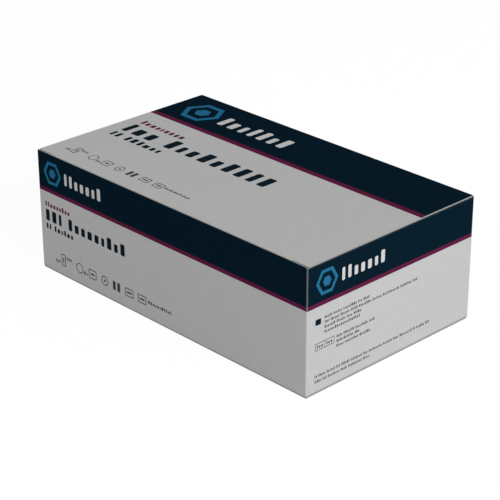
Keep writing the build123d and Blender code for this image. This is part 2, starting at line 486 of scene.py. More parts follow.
def bar(u, v, width, height, ink, radius):
    """A rounded bar with its upper left corner at u and v."""
    corners = [(u + width - radius, v + radius, -90), (u + width - radius, v + height - radius, 0),
               (u + radius, v + height - radius, 90), (u + radius, v + radius, 180)]
    shape = []
    for corner_u, corner_v, start in corners:
        for step in range(CORNER_STEPS + 1):
            angle = math.radians(start + 90 * step / CORNER_STEPS)
            shape.append((corner_u + radius * math.cos(angle), corner_v + radius * math.sin(angle)))
    return shape, ink


def block(u, v, width, height, ink):
    """A square-cornered field with its upper left corner at u and v."""
    return [(u, v), (u + width, v), (u + width, v + height), (u, v + height)], ink


def regular(u, v, radius, sides, ink, start=0.0):
    """A regular figure about a middle point, such as a hexagon or a near circle."""
    turns = [math.radians(start + 360 * side / sides) for side in range(sides)]
    return [(u + radius * math.cos(turn), v + radius * math.sin(turn)) for turn in turns], ink


def emblem(u, v, radius):
    """A plain mark in the dark band, about a middle point: a hexagon outline with a small hexagon in it."""
    return [regular(u, v, radius * share, EMBLEM_SIDES, ink) for share, ink in EMBLEM_RINGS]


print("a bar has", len(bar(0, 0, 4, 2, NAVY, 0.5)[0]), "corners")

# %% A line of print
GAP_SHARE = 0.2
SPACE_SHARE = 0.35
LOW_CELL = 0.28
TALL_CHANCE = 0.35
SEEDS_PER_MM = 100


def print_line(u, v, width, height, groups, ink, corner=0.0, thin=0.2, wide=0.4):
    """A line of upright cells, tall and low, that fills its width. Groups are counts of cells."""
    chance = random.Random(round(width * SEEDS_PER_MM) + sum(groups))
    cells = []
    for group in groups:
        for cell in range(group):
            share = chance.uniform(thin, wide)
            cells += [(share, cell == 0 or chance.random() < TALL_CHANCE), (GAP_SHARE, None)]
        cells.append((SPACE_SHARE, None))
    cells = cells[:-2]
    scale = width / sum(share for share, tall in cells)
    shapes = []
    for share, tall in cells:
        low = 0.0 if tall else height * LOW_CELL
        if tall is not None and corner:
            shapes.append(bar(u, v + low, share * scale, height - low, ink, height * corner))
        elif tall is not None:
            shapes.append(block(u, v + low, share * scale, height - low, ink))
        u += share * scale
    return shapes


def print_lines(left, top, lines):
    """Lines of print from a table, which gives each one's place on the face first."""
    shapes = []
    for u, v, *line in lines:
        shapes += print_line(left + u, top + v, *line)
    return shapes


print("a line of two groups has", len(print_line(0, 0, 20, 2, (4, 5), GREY)), "cells")

# %% A row of small outlined shapes
SYMBOL_LINE = 0.08
SYMBOL_CORNER = 0.12
SYMBOL_TURN = 30
NOTE_HEIGHT = 0.26
# Middle along the row, corners (none for a rounded box), width, height, and the inner bar's size.
SYMBOLS = (
    (0.92, 0, 0.50, 1.00, 0.12, 0.40), (2.84, 6, 0.90, 0.90, 0.00, 0.00), (4.35, 0, 0.90, 0.76, 0.42, 0.14),
    (5.77, 20, 0.80, 0.80, 0.20, 0.20), (6.85, 0, 0.32, 0.72, 0.32, 0.72), (7.35, 0, 0.32, 0.72, 0.32, 0.72),
    (8.53, 0, 0.95, 0.68, 0.55, 0.14), (9.96, 0, 0.95, 0.68, 0.55, 0.14),
)
# Place along the row and down it, width, and number of cells.
SYMBOL_NOTES = ((0.0, 0.62, 0.5, 4), (1.3, 0.1, 0.6, 4), (3.36, 0.55, 0.4, 2), (10.62, 0.34, 2.5, 11))


def symbol_row(u, v, size, ink):
    """Plain outlined shapes in a row, each with a small bar in it, and short lines of print between."""
    shapes = []
    for along, corners, width, height, inner_width, inner_height in SYMBOLS:
        middle_u, middle_v = u + along * size, v + size / 2
        for inset, colour in ((0.0, ink), (SYMBOL_LINE, COATED)):
            if corners:
                shapes.append(regular(middle_u, middle_v, (width / 2 - inset) * size, corners, colour,
                                      SYMBOL_TURN))
            else:
                half_width, half_height = (width / 2 - inset) * size, (height / 2 - inset) * size
                shapes.append(bar(middle_u - half_width, middle_v - half_height, 2 * half_width,
                                  2 * half_height, colour, (SYMBOL_CORNER - inset) * size))
        if inner_width:
            shapes.append(block(middle_u - inner_width / 2 * size, middle_v - inner_height / 2 * size,
                                inner_width * size, inner_height * size, ink))
    for along, down, width, cells in SYMBOL_NOTES:
        shapes += print_line(u + along * size, v + down * size, width * size, NOTE_HEIGHT * size, (cells,),
                             ink)
    return shapes


print("the symbol row has", len(symbol_row(0, 0, 7, GREY)), "shapes")

# %% [markdown]
# ## The walls
#
# The four walls share one dark band at their tops, which runs round the folds between them,
# so every panel and every upright fold is cut at the same levels. Each wall carries its flaps:
# the front and back walls the two base panels, and the end walls a base flap and a dust flap.

# %% Levels of the walls
SIDE_BAND = 18.3
SIDE_STRIPE = 1.95
BAND_Z = HEIGHT - SIDE_BAND
STRIPE_Z = BAND_Z - SIDE_STRIPE
FRONT_BASE_Z = BOARD
END_BASE_Z = 2 * BOARD
CREASE = 1.0
PLAIN_ROWS = [15.0, 28.0, 52.0]

levels = PLAIN_ROWS + [END_BASE_Z, STRIPE_Z, BAND_Z, HINGE_Z - CREASE, HINGE_Z, HEIGHT - WEAR_AND_HIGHLIGHT_REACH]
for bottom in (0.0, FRONT_BASE_Z, END_BASE_Z):
    levels += [bottom + FOLD, bottom + FOLD + WEAR_AND_HIGHLIGHT_REACH]
levels += [HINGE_Z - FOLD, HINGE_Z - FOLD - WEAR_AND_HIGHLIGHT_REACH]
levels = sorted(set(round(z, 4) for z in levels))
print("levels", levels)

# %% The band and its print
OVERLAP = 1.0
EMBLEM_RADIUS = 6.6
TITLE_CELLS = (0.1, 0.2, 0.34)
# Lines of print: place across and down, width, height, cells of each group, ink, corners and cell widths.
BAND_LINE = (9.1, -2.9, 26.5, 6.0, (7,), WHITE, 0.1, 0.18, 0.27)


def band(left, right, v_top, v_of):
    """The dark band and the thin stripe under it, across a wall and past its edges."""
    left, width = left - OVERLAP, right - left + 2 * OVERLAP
    return [block(left, v_top - OVERLAP, width, v_of(BAND_Z) - v_top + OVERLAP, NAVY),
            block(left, v_of(BAND_Z), width, SIDE_STRIPE, MAGENTA)]


def band_print(u, v):
    """The emblem in the band of a wall, about a middle point, and the line of print beside it."""
    return emblem(u, v, EMBLEM_RADIUS) + print_lines(u, v, [BAND_LINE])


print("the band has", len(band_print(0, 0)), "shapes of print")

# %% [markdown]
# ## Front and back walls
#
# Both are drawn from their upper left corner, as a reader stands before them. At the bottom each one folds
# in to a base panel: the inner panel lies on the outer one, and both are as wide as the carton.
# The front wall ends at the top in a cut edge, behind which the lid's flap is tucked.

# %% Front wall with the inner base panel
SET_BACK = 0.25
BASE_GAP = 1.0
BASE_LEG = 0.3
# Pale ink beside the front wall's cut top edge: a painted highlight along that edge.
RAW_EDGE_PAINTED_HIGHLIGHT = 0.6
WALL_EMBLEM = Vector((10.9, 9.7))
FRONT_LINES = ((4.3, 25.3, 18.2, 2.6, (9,), MAGENTA), (4.3, 29.5, 58.5, 5.9, (3, 9), DARK, *TITLE_CELLS),
               (4.3, 36.9, 20.2, 2.8, (2, 6), DARK))
FRONT_SYMBOLS = (10.4, 49.9, 6.4)


def front_print():
    """The front wall's print. The wall's upper left corner is at -HALF_LENGTH and 0."""
    u, v, size = FRONT_SYMBOLS
    shapes = band_print(WALL_EMBLEM.x - HALF_LENGTH, WALL_EMBLEM.y)
    return shapes + print_lines(-HALF_LENGTH, 0, FRONT_LINES) + symbol_row(u - HALF_LENGTH, v, size, GREY)


def long_wall(bends, length, half_width, wall_left, wall_right):
    """The outline of a long wall with its base panel, and its lines beside the bend."""
    leg = bends[0][1] + BASE_LEG
    outline = [(wall_left, 0), (wall_right, 0), (wall_right, leg), (half_width, leg), (half_width, length),
               (-half_width, length), (-half_width, leg), (wall_left, leg)]
    return outline, bend_lines(bends) + grid_between(leg, length, GRID * 2), leg


def add_front(mesh):
    """The front wall up to its raw top edge, folded at the bottom into the inner base panel."""
    path, bends, length = bent_path([(-HALF_DEPTH, HEIGHT), (-HALF_DEPTH, FRONT_BASE_Z),
                                     (HALF_DEPTH - BOARD - BASE_GAP, FRONT_BASE_Z)])
    outline, v_lines, leg = long_wall(bends, length, HALF_LENGTH - SET_BACK, -STRAIGHT_X, STRAIGHT_X)
    v_lines += [HEIGHT - z for z in levels if z > FRONT_BASE_Z + FOLD]
    shapes = band(-STRAIGHT_X, STRAIGHT_X, 0, lambda z: HEIGHT - z) + front_print()
    # The base fold cracks pale with painted highlight; the entry at the top paints a highlight beside the cut
    # top edge.
    folds = [(*bends[0], 1.0), (0.0, 0.0, RAW_EDGE_PAINTED_HIGHLIGHT)]
    sides = [(-STRAIGHT_X, leg), (STRAIGHT_X, leg)]
    add_panel(mesh, outline, shapes, grid_between(-STRAIGHT_X, STRAIGHT_X, GRID), v_lines,
              lambda u, v: Vector((u, *path(v))), folds, sides)


carton_mesh = new_sheet_mesh()
add_front(carton_mesh)

# %% Back wall with the outer base panel
GLUE_FOLD_X = -HALF_LENGTH + BOARD
BACK_BLOCK = Vector((5.0, 26.0))
BACK_PITCH = 2.4
BACK_PRINT_HEIGHT = 1.2
BACK_ROWS = ((62.0, (9, 5, 13, 8)), (58.5, (7, 10, 5, 4, 6)), (61.0, (11, 8, 14)), (55.0, (6, 4, 10, 3, 7)),
             (31.5, (8, 9)))


def add_back(mesh):
    """The back wall below the lid's crease, folded at the bottom into the outer base panel."""
    top = HINGE_Z - CREASE
    path, bends, length = bent_path([(HALF_DEPTH, top), (HALF_DEPTH, 0), (-HALF_DEPTH + SET_BACK, 0)])
    left, right = -STRAIGHT_X, -(GLUE_FOLD_X + FOLD)
    outline, v_lines, leg = long_wall(bends, length, HALF_LENGTH - SET_BACK, left, right)
    v_lines += [top - z for z in levels if FOLD < z < top]
    shapes = band(left, right, 0, lambda z: top - z)
    shapes += band_print(left + WALL_EMBLEM.x, top - HEIGHT + WALL_EMBLEM.y)
    for row, (width, groups) in enumerate(BACK_ROWS):
        shapes += print_line(left + BACK_BLOCK.x, top - HEIGHT + (BACK_BLOCK.y + BACK_PITCH * row), width,
                             BACK_PRINT_HEIGHT, groups, GREY)
    add_panel(mesh, outline, shapes, grid_between(left, right, GRID), v_lines,
              lambda u, v: Vector((-u, *path(v))), [(*bends[0], 1.0)], [(left, leg), (right, leg)])


add_back(carton_mesh)

# %% [markdown]
# ## End walls
#
# An end wall is a strip with a flap at both ends. The base flap lies on the base panels inside.
# The dust flap folds in under the lid: its back edge slopes away from the crease, and its front corner
# is cut out to a shoulder, so that the lid's tuck flap can pass.

# %% Round the corners of a flap


def rounded_corners(points, radii):
    """A flat outline with each corner rounded by its own radius, and left sharp where that is none."""
    shape = []
    for i, (point, radius) in enumerate(zip(points, radii)):
        corner = Vector(point)
        back = (Vector(points[i - 1]) - corner).normalized()
        ahead = (Vector(points[(i + 1) % len(points)]) - corner).normalized()
        reach = radius / math.tan(back.angle(ahead) / 2)
        steps = 2 * CORNER_STEPS if radius else 0
        for step in range(steps + 1):
            t = step / max(steps, 1)
            shape.append(tuple(corner + back * reach * (1 - t) ** 2 + ahead * reach * t ** 2))
    return shape


print("a square with one round corner has", len(rounded_corners(square, [2, 0, 0, 0])), "points")

# %% Print of the right end
END_EMBLEM = Vector((11.8, 9.8))
END_SQUARE = (5.1, 26.0, 3.4, 2.8, DARK, 0.5)
BOX = Vector((5.1, 37.4))
BOX_LINE = 0.3
CELL = Vector((5.7, 3.5))
CELL_PRINT = (1.2, 1.0, 3.5, 1.5, (3,), GREY)
END_PRINT_HEIGHT = 1.35
END_ROWS = (
    (10.7, 25.7, 27.5, (5, 6, 9, 3, 4)), (10.7, 28.0, 58.6, (4, 6, 7, 5, 9, 7, 12, 8, 4)),
    (10.7, 30.3, 22.4, (7, 6, 4, 5)), (10.7, 32.6, 21.7, (20,)), (18.2, 37.6, 23.6, (4, 8, 9, 4)),
    (18.2, 39.9, 14.0, (12, 3)), (18.2, 42.2, 21.0, (5, 9, 7)),
    (5.1, 52.5, 73.4, (2, 5, 6, 3, 6, 9, 3, 10, 7, 4, 10, 2, 6, 3)), (5.1, 55.0, 34.3, (5, 3, 9, 5, 10, 6)),
)


def end_print(left, top):
    """The right end's print below its band: lines of cells, a square and a box of two fields."""
    u, v, *square = END_SQUARE
    shapes = [bar(left + u, top + v, *square)]
    for u, v, width, groups in END_ROWS:
        shapes += print_line(left + u, top + v, width, END_PRINT_HEIGHT, groups, GREY)
    for column in range(2):
        u, v = left + BOX.x + column * CELL.x, top + BOX.y
        shapes.append(block(u, v, CELL.x + BOX_LINE, CELL.y, GREY))
        shapes.append(block(u + BOX_LINE, v + BOX_LINE, CELL.x - BOX_LINE, CELL.y - 2 * BOX_LINE, COATED))
        shapes += print_lines(u, v, [CELL_PRINT])
    return shapes


print("the right end has", len(end_print(0, 0)), "shapes of print")

# %% End wall with both its flaps
FLAP_LENGTH = 50.0
BASE_FLAP_TAPER = 8.0
DUST_FLAP_FRONT_Y = -50.84
DUST_FLAP_TAPER = 12.0
SHOULDER = 7.0
SHOULDER_REACH = 20.0
FLAP_CLEARANCE = 0.5
# Strength of the pale cracks and painted highlight along the dust flap's crease.
DUST_FLAP_WEAR_AND_HIGHLIGHT = 0.25
DUST_FLAP_CORNER, BASE_FLAP_CORNER = 5.0, 4.0


def end_outline(bends, length):
    """The flat outline of an end wall: dust flap at the top, then the wall, then the base flap."""
    side = HALF_DEPTH - BOARD - FLAP_CLEARANCE
    dust_root, base_root = bends[0][0], bends[1][1]
    shoulder_v = FLAP_LENGTH - SHOULDER_REACH
    front, inner = DUST_FLAP_FRONT_Y, DUST_FLAP_FRONT_Y + SHOULDER
    flat = [(-STRAIGHT_Y, dust_root), (front, dust_root), (front, shoulder_v), (inner, shoulder_v - SHOULDER),
            (inner, 0), (side - DUST_FLAP_TAPER, 0), (side, dust_root), (STRAIGHT_Y, dust_root),
            (STRAIGHT_Y, base_root), (side, base_root), (side - BASE_FLAP_TAPER, length),
            (-side + BASE_FLAP_TAPER, length), (-side, base_root), (-STRAIGHT_Y, base_root)]
    dust, base = [DUST_FLAP_CORNER] * 2, [BASE_FLAP_CORNER] * 2
    return rounded_corners(flat, [0] * 4 + dust + [0] * 4 + base + [0] * 2)


def add_end(mesh, side):
    """An end wall with both its flaps. Side is 1 on the right and -1 on the left."""
    tip = HALF_LENGTH - FLAP_LENGTH
    path, bends, length = bent_path([(tip, HINGE_Z), (HALF_LENGTH, HINGE_Z), (HALF_LENGTH, END_BASE_Z),
                                     (tip, END_BASE_Z)])
    top_z = HINGE_Z - FOLD

    def v_of(z):
        """The length down the panel at which the wall has this height."""
        return bends[0][1] + top_z - z

    shapes = band(-STRAIGHT_Y, STRAIGHT_Y, bends[0][0] + OVERLAP + BASE_LEG, v_of)
    shapes += band_print(-HALF_DEPTH + END_EMBLEM.x, v_of(HEIGHT) + END_EMBLEM.y)
    shapes += end_print(-HALF_DEPTH, v_of(HEIGHT)) if side > 0 else []
    v_lines = [v_of(z) for z in levels if END_BASE_Z + FOLD < z < top_z] + bend_lines(bends)
    v_lines += grid_between(0, bends[0][0], GRID * 2) + grid_between(bends[1][1], length, GRID * 2)

    def place(u, v):
        """The point of the carton for a point of the flat panel."""
        x, z = path(v)
        return Vector((side * x, side * u, z))

    add_panel(mesh, [(side * u, v) for u, v in end_outline(bends, length)], shapes,
              grid_between(-STRAIGHT_Y, STRAIGHT_Y, GRID), v_lines, place,
              [(*bends[0], DUST_FLAP_WEAR_AND_HIGHLIGHT), (*bends[1], 1.0)],
              [(-STRAIGHT_Y, length), (STRAIGHT_Y, length)])


add_end(carton_mesh, 1)
add_end(carton_mesh, -1)

# %% [markdown]
# ## The upright folds
#
# Between two walls the sheet turns a quarter round a vertical crease. The ink runs round it, but it is
# stretched there, so a thin pale line shows all the way up each corner; the line is also a painted highlight
# on the rounded corner.
# The fourth corner is the glued one: the back wall turns in behind the left end wall,
# whose cut edge shows beside the fold.

# %% Upright folds
fold_levels = [z for z in levels if END_BASE_Z <= z <= HINGE_Z]


def add_upright_fold(mesh, x, y, start):
    """A quarter turn of board about a vertical line, from the wall on its left to the wall on its right."""
    wear_and_highlight = mesh.verts.layers.float["wear_and_highlight"]
    columns = []
    for step in range(BEND_STEPS + 1):
        angle = math.radians(start + 90 * step / BEND_STEPS)
        edge_x, edge_y = x + FOLD * math.cos(angle), y + FOLD * math.sin(angle)
        column = [mesh.verts.new(Vector((edge_x, edge_y, z)) * MM) for z in fold_levels]
        for vert in column:
            # Pale cracked ink round the corner, which is also painted highlight.
            vert[wear_and_highlight] = wear_and_highlight_near(abs(2 * step / BEND_STEPS - 1) * HALF_BEND)
        columns.append(column)
    for left, right in zip(columns, columns[1:]):
        for row, (low, high) in enumerate(zip(fold_levels, fold_levels[1:])):
            face = mesh.faces.new((left[row], right[row], right[row + 1], left[row + 1]))
            middle = (low + high) / 2
            face.material_index = NAVY if middle > BAND_Z else MAGENTA if middle > STRIPE_Z else COATED


for x, y, start in ((-STRAIGHT_X, -STRAIGHT_Y, 180), (STRAIGHT_X, -STRAIGHT_Y, 270),
                    (STRAIGHT_X, STRAIGHT_Y, 0), (GLUE_FOLD_X + FOLD, STRAIGHT_Y, 90)):
    add_upright_fold(carton_mesh, x, y, start)
print("upright folds end at", fold_levels[0], "and", fold_levels[-1])

# %% Glue flap
GLUE_FLAP_WIDTH = 14.0
GLUE_FLAP_TAPER = 4.0


def add_glue_flap(mesh):
    """The flap behind the left end wall, flat against its inner side."""
    rows = [z for z in levels if 3 * BOARD <= z <= HINGE_Z - BOARD]
    middle = (rows[0] + rows[-1]) / 2
    shrink = 1 - 2 * GLUE_FLAP_TAPER / (rows[-1] - rows[0])
    root = [mesh.verts.new(Vector((GLUE_FOLD_X, STRAIGHT_Y, z)) * MM) for z in rows]
    tip_y = STRAIGHT_Y - GLUE_FLAP_WIDTH
    tip = [mesh.verts.new(Vector((GLUE_FOLD_X, tip_y, middle + (z - middle) * shrink)) * MM) for z in rows]
    for row in range(len(rows) - 1):
        mesh.faces.new((tip[row], tip[row + 1], root[row + 1], root[row])).material_index = COATED


add_glue_flap(carton_mesh)
sheet_object("carton_board", carton_mesh, "carton", "carton")

# %% [markdown]
# ## The lid
#
# The lid is the same sheet past the crease. Its print is on its top: the broad dark band along the
# back edge, and the blocks of the front wall at a larger size. Its front edge folds down into the tuck flap,
# which leans inwards. At each end of that fold a short slit frees an ear, which catches under the dust flap.

# %% Print of the top
TOP_BAND = 32.3
TOP_STRIPE = 3.3
TOP_EMBLEM = (19.8, 17.7, 11.4)
TOP_SYMBOLS = (8.8, 90.7, 6.5)
TOP_LINES = ((35.1, 12.7, 45.0, 10.2, (7,), WHITE, 0.1, 0.17, 0.25), (8.6, 45.0, 30.1, 4.4, (9,), MAGENTA),
             (8.4, 51.6, 99.2, 10.0, (3, 9), DARK, *TITLE_CELLS), (8.6, 64.4, 35.1, 4.8, (2, 6), DARK))


def top_print(left, top, width):
    """The top's print, from the carton's upper left corner as seen from the front."""
    shapes = [block(left - OVERLAP, top - OVERLAP, width + 2 * OVERLAP, TOP_BAND + OVERLAP, NAVY),
              block(left - OVERLAP, top + TOP_BAND, width + 2 * OVERLAP, TOP_STRIPE, MAGENTA)]
    u, v, radius = TOP_EMBLEM
    shapes += emblem(left + u, top + v, radius) + print_lines(left, top, TOP_LINES)
    u, v, size = TOP_SYMBOLS
    return shapes + symbol_row(left + u, top + v, size, GREY)


print("the top has", len(top_print(0, 0, 180)), "shapes of print")

# %% Lid and tuck flap
TUCK_DEPTH = (lid_high.z - lid_low.z) / MM
TUCK_LEAN = math.radians(6.43)
TUCK_SET_BACK = 1.5
TUCK_CORNER = 12.0
SLIT_LENGTH = 8.0
SLIT_WIDTH = 0.25
SLIT_START = 0.35
GRID_MARGIN = 1.0


def add_lid(mesh):
    """The top panel from its crease to its front fold, and the tuck flap under it."""
    front_y = lid_low.y / MM
    path, bends, length = bent_path([(HALF_DEPTH - CREASE, HEIGHT), (front_y, HEIGHT),
                                     (front_y + TUCK_DEPTH * math.tan(TUCK_LEAN), HEIGHT - TUCK_DEPTH)])
    panel_x = lid_high.x / MM
    ear_x = HALF_LENGTH - BOARD - TUCK_SET_BACK
    fold_x = ear_x - SLIT_LENGTH
    lip = bends[0][0] + SLIT_START
    ear = lip + SLIT_WIDTH
    flat = [(-panel_x, 0), (panel_x, 0), (panel_x, lip), (fold_x, lip), (fold_x, ear), (ear_x, ear),
            (ear_x, length), (-ear_x, length), (-ear_x, ear), (-fold_x, ear), (-fold_x, lip), (-panel_x, lip)]
    outline = rounded_corners(flat, [TUCK_CORNER if v == length else 0 for u, v in flat])
    v_lines = bend_lines(bends) + grid_between(0, bends[0][0] - GRID_MARGIN, GRID)
    v_lines += grid_between(bends[0][1] + GRID_MARGIN, length, GRID / 2)
    add_panel(mesh, outline, top_print(-HALF_LENGTH, -CREASE, 2 * HALF_LENGTH),
              grid_between(-panel_x, panel_x, GRID), v_lines, lambda u, v: Vector((u, *path(v))),
              [(*bends[0], 1.0)])


lid_mesh = new_sheet_mesh()
add_lid(lid_mesh)
sheet_object("lid_board", lid_mesh, "lid", "lid")

# %% [markdown]
# ## The crease
#
# The lid turns on a crease, not on a pin. The strip of board in the crease belongs to both:
# it follows the back wall on one side and the lid on the other, and it bends between them.

# %% Crease between the back wall and the lid
BLEND_BELOW = 0.5
BLEND_IN = 0.4
BLEND_UP = 0.2


def add_crease(mesh):
    """The strip of board in the crease, from the back wall's top to the lid's back end."""
    path, bends, length = bent_path([(HALF_DEPTH, HINGE_Z - CREASE), (HALF_DEPTH, HEIGHT),
                                     (HALF_DEPTH - CREASE, HEIGHT)])
    outline = [(-STRAIGHT_X, 0), (STRAIGHT_X, 0), (STRAIGHT_X, length), (-STRAIGHT_X, length)]
    print_field = block(-HALF_LENGTH, -OVERLAP, 2 * HALF_LENGTH, length + 2 * OVERLAP, NAVY)
    add_panel(mesh, outline, [print_field], grid_between(-STRAIGHT_X, STRAIGHT_X, GRID), bend_lines(bends),
              lambda u, v: Vector((u, *path(v))), [(*bends[0], 1.0)])


crease_mesh = new_sheet_mesh()
add_crease(crease_mesh)
lid_crease = sheet_object("lid_crease", crease_mesh)
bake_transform(lid_crease, "carton", "lid",
         start=(0, HALF_DEPTH * MM, (HINGE_Z - BLEND_BELOW) * MM),
         end=(0, (HALF_DEPTH - BLEND_IN) * MM, (HEIGHT - BLEND_UP) * MM))

# %% [markdown]
# ## The foil pouches
#
# Each cassette is sealed in a pouch of aluminium foil between plastic films. Two flat sheets are welded
# along all four sides, so a pouch is a flat border round a soft bulge, creased where the film goes
# over the cassette's edges, with a notch in each side to tear it open. The form follows a rule and comes
# twenty times, so Geometry Nodes make it: a grid is pushed out on both sides by how far each point is
# from the weld, with noise for the creases.

# %% Inputs of the pouch tree
POUCH_FLOATS = ("Width", "Height", "Thickness", "Weld Width", "Crest Width", "Crest Height", "Film",
                "Crumple", "Curl", "Notch Depth", "Notch Drop", "Notch Height", "Seed")
POUCH_INPUTS = [(name, "Float") for name in POUCH_FLOATS]
POUCH_INPUTS += [("Columns", "Int"), ("Rows", "Int"), ("Centre", "Vector"), ("Material", "Material")]

tree = pouch_tree = bpy.data.node_groups.new("sealed foil pouch", "GeometryNodeTree")
for name, kind in POUCH_INPUTS:
    tree.interface.new_socket(name, in_out="INPUT", socket_type="NodeSocket" + kind)
tree.interface.new_socket("Mesh", in_out="OUTPUT", socket_type="NodeSocketGeometry")
known = {socket.name: socket for socket in add_node(tree, "NodeGroupInput").outputs}
flat = add_node(tree, "ShaderNodeSeparateXYZ", {0: add_node(tree, "GeometryNodeInputPosition")})
known["across"], known["up"] = flat.outputs[0], flat.outputs[1]
print("the tree has", len(POUCH_INPUTS), "inputs")

# %% How far each point stands out
BORDER_LINE = 0.01 * MM
FILM_SLACK = 1.15
WELD_GRIP = 0.12

for axis, size, crest in (("across", "Width", "Crest Width"), ("up", "Height", "Crest Height")):
    add_steps(tree, known, (
        (axis + " distance", "ABSOLUTE", axis),
        (axis + " half", "MULTIPLY", size, 0.5),
        (axis + " weld", "SUBTRACT", axis + " half", "Weld Width"),
        (axis + " crest", "MULTIPLY", crest, 0.5),
        (axis + " rise", "SMOOTHSTEP", axis + " distance", axis + " weld", axis + " crest"),
        (axis + " margin", "SUBTRACT", axis + " half", axis + " distance"),
    ))
add_steps(tree, known, (
    ("rise", "MULTIPLY", "across rise", "up rise"),
    ("margin", "MINIMUM", "across margin", "up margin"),
    ("inside", "GREATER_THAN", "margin", BORDER_LINE),
    ("half film", "MULTIPLY", "Film", 0.5),
    ("sheet film", "MULTIPLY", "half film", "inside"),
    ("reach", "MULTIPLY", "Thickness", 0.5),
    ("reach", "SUBTRACT", "reach", "half film"),
    ("full", "MULTIPLY", "reach", "rise"),
    ("slack", "SUBTRACT", FILM_SLACK, "rise"),
    ("loose", "SMOOTHSTEP", "rise", 0.0, WELD_GRIP),
    ("slack", "MULTIPLY", "slack", "loose"),
    ("slack", "MULTIPLY", "slack", "Crumple"),
))
print("nodes so far", len(tree.nodes))

# %% Curl of the top weld and the tear notches
WAVE_PER_METRE = 95.0
WAVE_SHARE = 0.35
NOTCH_REACH = 5.0 * MM
CURL_WELDS = 2.0

add_steps(tree, known, (
    ("wave", "MULTIPLY_ADD", "across", WAVE_PER_METRE, "Seed"),
    ("wave", "SINE", "wave"),
    ("wave", "MULTIPLY_ADD", "wave", WAVE_SHARE, 1.0),
    ("lean", "MULTIPLY", "Curl", "wave"),
    ("start", "MULTIPLY_ADD", "Weld Width", -CURL_WELDS, "up half"),
    ("high", "SMOOTHSTEP", "up", "start", "up half"),
    ("curl", "MULTIPLY", "lean", "high"),
    ("notch up", "SUBTRACT", "up half", "Notch Drop"),
    ("apart", "SUBTRACT", "up", "notch up"),
    ("apart", "ABSOLUTE", "apart"),
    ("notch", "LINEAR", "apart", 0.0, "Notch Height", "Notch Depth", 0.0),
    ("near", "LINEAR", "across margin", NOTCH_REACH, 0.0),
    ("pull", "MULTIPLY", "notch", "near"),
    ("side", "SIGN", "across"),
    ("pull", "MULTIPLY", "pull", "side"),
    ("notched", "SUBTRACT", "across", "pull"),
))
print("nodes so far", len(tree.nodes))

# %% Both sides of the pouch
FILM_NOISE = {"Scale": 85.0, "Detail": 2.5}
SEED_STEP = 7.3
SIDE_STEP = 3.0

on_film = add_node(tree, "ShaderNodeCombineXYZ", {0: known["across"], 1: known["up"]})
sides = add_node(tree, "GeometryNodeJoinGeometry")
for sign in (1.0, -1.0):
    grid = add_node(tree, "GeometryNodeMeshGrid", {
        "Size X": known["Width"], "Size Y": known["Height"], "Vertices X": known["Columns"],
        "Vertices Y": known["Rows"]})
    add_steps(tree, known, [("phase", "MULTIPLY_ADD", "Seed", SEED_STEP, SIDE_STEP * sign)])
    known["creases"] = add_node(tree, NOISE, {"Vector": on_film, "W": known["phase"], **FILM_NOISE},
                                noise_dimensions="4D")
    add_steps(tree, known, (
        ("dent", "MULTIPLY", "creases", "slack"),
        ("bulge", "SUBTRACT", "full", "dent"),
        ("bulge", "MAXIMUM", "bulge", 0.0),
        ("out", "ADD", "bulge", "sheet film"),
        ("out", "MULTIPLY_ADD", "out", sign, "curl"),
    ))
    stood = add_node(tree, "ShaderNodeCombineXYZ", {0: known["out"], 1: known["notched"], 2: known["up"]})
    placed = add_node(tree, "ShaderNodeVectorMath", {0: stood, 1: known["Centre"]}, operation="ADD")
    side = add_node(tree, "GeometryNodeStoreNamedAttribute",
                    {"Geometry": grid, "Name": "film_place", "Value": on_film}, data_type="FLOAT_VECTOR")
    side = add_node(tree, "GeometryNodeSetPosition", {"Geometry": side, "Position": placed})
    if sign < 0:
        side = add_node(tree, "GeometryNodeFlipFaces", {"Mesh": side})
    tree.links.new(side.outputs[0], sides.inputs[0])
pouch = add_node(tree, "GeometryNodeMergeByDistance", {"Geometry": sides, "Distance": WELD})
pouch = add_node(tree, "GeometryNodeSetShadeSmooth", {"Geometry": pouch})
pouch = add_node(tree, "GeometryNodeRealizeInstances", {"Geometry": pouch})
pouch = add_node(tree, "GeometryNodeSetMaterial", {"Geometry": pouch, "Material": known["Material"]})
add_node(tree, "NodeGroupOutput", {"Mesh": pouch})
print("the pouch tree has", len(tree.nodes), "nodes")

# %% [markdown]
# ## Foil laminate
#
# Aluminium foil under a clear polyester film is a metal to the eye, brushed a little dull by the film
# and full of fine creases. The welded border carries the print of the sealing bars: fine ribs that
# run along each side. The ribs follow the film, so they read the place that the tree stored on it.

# %% Foil laminate
RIB_MM = 1.3
CREASE_MM = 7.0
CREASE_NOISE = {"Detail": 4.0, "Roughness": 0.55, "Distortion": 0.6}
CREASE_BUMP = {"Strength": 0.5, "Distance": 0.8 * MM}
RIB_BUMP = {"Strength": 0.5, "Distance": 0.1 * MM}
FILM_ROUGHNESS = 0.34
WELD_WIDTH = 7.0 * MM
pouch_names = sorted(name for name in frame["nodes"] if name.startswith("pouch_"))
pouch_low, pouch_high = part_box(pouch_names[0])
pouch_size = pouch_high - pouch_low

